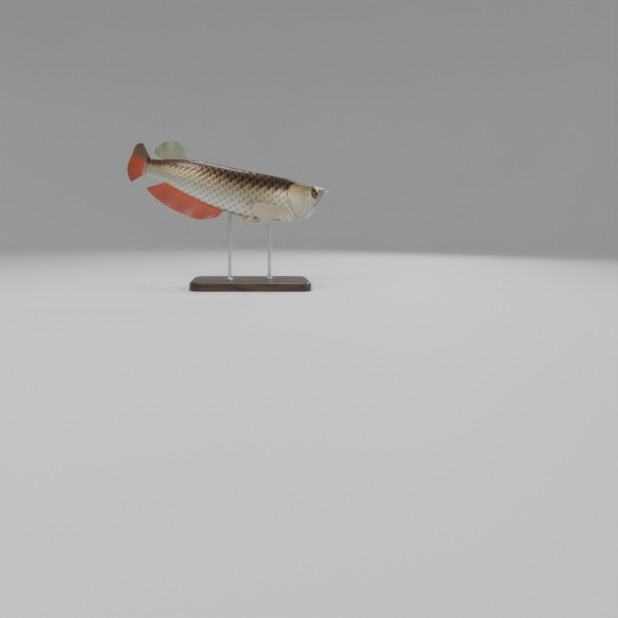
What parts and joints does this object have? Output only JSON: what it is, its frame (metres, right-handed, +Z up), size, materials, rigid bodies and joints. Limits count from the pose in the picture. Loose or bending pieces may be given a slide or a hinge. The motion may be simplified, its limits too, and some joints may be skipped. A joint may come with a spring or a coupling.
{
  "type": "asian arowana model",
  "caption": "Life-size still model of a swimming Asian arowana with large overlapping scales, chin barbels and reddish rear fins, held on slim rods above a flat display base.",
  "frame": {"origin": "centre of the underside of the stand's base", "axes": "+X the way the fish swims, along the base's long side; +Y to the fish's left; +Z up"},
  "size_m": [0.3746, 0.1345, 0.2552],
  "materials": {
    "scales": "silver-gold scales under clear varnish, dark brown along the back",
    "head": "smooth silver-gold bony head",
    "eye": "polished dark eye with a pale gold ring",
    "pale_fin": "satin cream fin with fine rays",
    "red_fin": "satin orange-red fin with fine rays",
    "stand_wood": "dark stained and waxed",
    "stand_steel": "brushed"
  },
  "bodies": {
    "root": {"head": "head", "lower_jaw": "head", "gill_cover_left": "head", "gill_cover_right": "head", "eye_left": "eye", "eye_right": "eye", "barbel_left": "pale_fin", "barbel_right": "pale_fin", "trunk_front": "scales", "trunk_middle": "scales", "tail_stalk": "scales", "dorsal_fin": "pale_fin", "anal_fin": "red_fin", "caudal_fin": "red_fin", "pectoral_fin_left": "pale_fin", "pectoral_fin_right": "pale_fin", "pelvic_fin_left": "pale_fin", "pelvic_fin_right": "pale_fin", "stand_base": "stand_wood", "stand_rod_front": "stand_steel", "stand_rod_rear": "stand_steel"}
  },
  "joints": []
}
